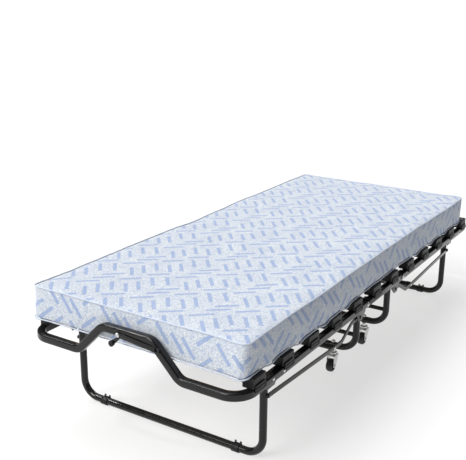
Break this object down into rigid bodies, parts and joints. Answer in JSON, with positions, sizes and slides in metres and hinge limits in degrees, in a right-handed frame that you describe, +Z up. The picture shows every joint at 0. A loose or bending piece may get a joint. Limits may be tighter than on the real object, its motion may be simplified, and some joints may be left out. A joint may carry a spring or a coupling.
{
  "type": "rollaway bed",
  "caption": "Folding bed on casters: slatted steel-tube halves hinged to a centre section, with folding end legs, stays, a latch and a patterned mattress.",
  "frame": {"origin": "floor point under the middle of the open bed", "axes": "+X along the bed to the head end, +Y across it, +Z up"},
  "size_m": [2.04, 0.8338, 0.4655],
  "materials": {
    "black_paint": "gloss black powder coat",
    "zinc": "bright zinc plate",
    "black_plastic": "moulded black plastic",
    "wheel": "black caster tread",
    "slat_wood": "bent laminated birch, clear lacquer",
    "ticking": "woven polyester ticking, pale blue with darker blue dashes, white piping"
  },
  "bodies": {
    "centre": {"centre_rail_left": "black_paint", "centre_rail_right": "black_paint", "foot_caster_leg": "black_paint", "centre_slat_foot": "slat_wood", "hinge_plate_foot_left": "black_paint", "hinge_bolt_foot_left": "zinc", "hinge_plate_foot_right": "black_paint", "hinge_bolt_foot_right": "zinc", "head_caster_leg": "black_paint", "centre_slat_head": "slat_wood", "hinge_plate_head_left": "black_paint", "hinge_bolt_head_left": "zinc", "hinge_plate_head_right": "black_paint", "hinge_bolt_head_right": "zinc", "mattress_middle": "ticking"},
    "foot_half": {"foot_frame_tube": "black_paint", "foot_leg_gusset_left": "black_paint", "foot_leg_bolt_left": "zinc", "foot_leg_gusset_right": "black_paint", "foot_leg_bolt_right": "zinc", "foot_slat_1": "slat_wood", "foot_slat_2": "slat_wood", "foot_slat_3": "slat_wood", "foot_slat_4": "slat_wood", "foot_slat_5": "slat_wood", "mattress_foot": "ticking", "latch_bolt": "zinc"},
    "foot_leg": {"foot_end_leg": "black_paint", "foot_glide_left": "black_plastic", "foot_glide_right": "black_plastic"},
    "foot_stays": {"foot_stay_left": "black_paint", "foot_stay_right": "black_paint", "foot_tie_tube": "black_paint"},
    "head_half": {"head_frame_tube": "black_paint", "head_leg_gusset_left": "black_paint", "head_leg_bolt_left": "zinc", "head_leg_gusset_right": "black_paint", "head_leg_bolt_right": "zinc", "head_slat_1": "slat_wood", "head_slat_2": "slat_wood", "head_slat_3": "slat_wood", "head_slat_4": "slat_wood", "head_slat_5": "slat_wood", "mattress_head": "ticking", "latch_stud": "zinc"},
    "head_leg": {"head_end_leg": "black_paint", "head_glide_left": "black_plastic", "head_glide_right": "black_plastic"},
    "head_stays": {"head_stay_left": "black_paint", "head_stay_right": "black_paint", "head_tie_tube": "black_paint"},
    "latch": {"latch": "black_paint"},
    "fork_foot_left": {"caster_fork_foot_left": "zinc"},
    "wheel_foot_left": {"caster_wheel_foot_left": "wheel"},
    "fork_foot_right": {"caster_fork_foot_right": "zinc"},
    "wheel_foot_right": {"caster_wheel_foot_right": "wheel"},
    "fork_head_left": {"caster_fork_head_left": "zinc"},
    "wheel_head_left": {"caster_wheel_head_left": "wheel"},
    "fork_head_right": {"caster_fork_head_right": "zinc"},
    "wheel_head_right": {"caster_wheel_head_right": "wheel"}
  },
  "joints": [
    {"name": "fold_foot", "type": "hinge", "parent": "centre", "child": "foot_half", "pos_m": [-0.168, 0, 0.306], "axis": [0, 1, 0], "range_deg": [0, 90], "deforming": ["mattress_middle"]},
    {"name": "foot_leg_fold", "type": "hinge", "parent": "foot_half", "child": "foot_leg", "pos_m": [-0.81, 0, 0.284], "axis": [0, 1, 0], "range_deg": [-90, 0]},
    {"name": "foot_stay_swing", "type": "hinge", "parent": "centre", "child": "foot_stays", "pos_m": [-0.168, 0, 0.25], "axis": [0, 1, 0], "range_deg": [0, 90]},
    {"name": "fold_head", "type": "hinge", "parent": "centre", "child": "head_half", "pos_m": [0.168, 0, 0.306], "axis": [0, -1, 0], "range_deg": [0, 90], "deforming": ["mattress_middle"]},
    {"name": "head_leg_fold", "type": "hinge", "parent": "head_half", "child": "head_leg", "pos_m": [0.81, 0, 0.284], "axis": [0, -1, 0], "range_deg": [-90, 0]},
    {"name": "head_stay_swing", "type": "hinge", "parent": "centre", "child": "head_stays", "pos_m": [0.168, 0, 0.25], "axis": [0, -1, 0], "range_deg": [0, 90]},
    {"name": "latch_swing", "type": "hinge", "parent": "foot_half", "child": "latch", "pos_m": [-1.0136, 0.024, 0.402], "axis": [-1, 0, 0], "range_deg": [0, 95]},
    {"name": "swivel_foot_left", "type": "hinge", "parent": "centre", "child": "fork_foot_left", "pos_m": [-0.142, 0.273, 0.09], "axis": [0, 0, 1], "continuous": true},
    {"name": "roll_foot_left", "type": "hinge", "parent": "fork_foot_left", "child": "wheel_foot_left", "pos_m": [-0.156, 0.273, 0.025], "axis": [0, 1, 0], "continuous": true},
    {"name": "swivel_foot_right", "type": "hinge", "parent": "centre", "child": "fork_foot_right", "pos_m": [-0.142, -0.273, 0.09], "axis": [0, 0, 1], "continuous": true},
    {"name": "roll_foot_right", "type": "hinge", "parent": "fork_foot_right", "child": "wheel_foot_right", "pos_m": [-0.156, -0.273, 0.025], "axis": [0, 1, 0], "continuous": true},
    {"name": "swivel_head_left", "type": "hinge", "parent": "centre", "child": "fork_head_left", "pos_m": [0.142, 0.273, 0.09], "axis": [0, 0, 1], "continuous": true},
    {"name": "roll_head_left", "type": "hinge", "parent": "fork_head_left", "child": "wheel_head_left", "pos_m": [0.128, 0.273, 0.025], "axis": [0, 1, 0], "continuous": true},
    {"name": "swivel_head_right", "type": "hinge", "parent": "centre", "child": "fork_head_right", "pos_m": [0.142, -0.273, 0.09], "axis": [0, 0, 1], "continuous": true},
    {"name": "roll_head_right", "type": "hinge", "parent": "fork_head_right", "child": "wheel_head_right", "pos_m": [0.128, -0.273, 0.025], "axis": [0, 1, 0], "continuous": true}
  ],
  "couplings": [
    {"joint": "foot_leg_fold", "follows": "fold_foot", "ratio": -1},
    {"joint": "foot_stay_swing", "follows": "fold_foot", "ratio": 1},
    {"joint": "head_leg_fold", "follows": "fold_head", "ratio": -1},
    {"joint": "head_stay_swing", "follows": "fold_head", "ratio": 1}
  ]
}
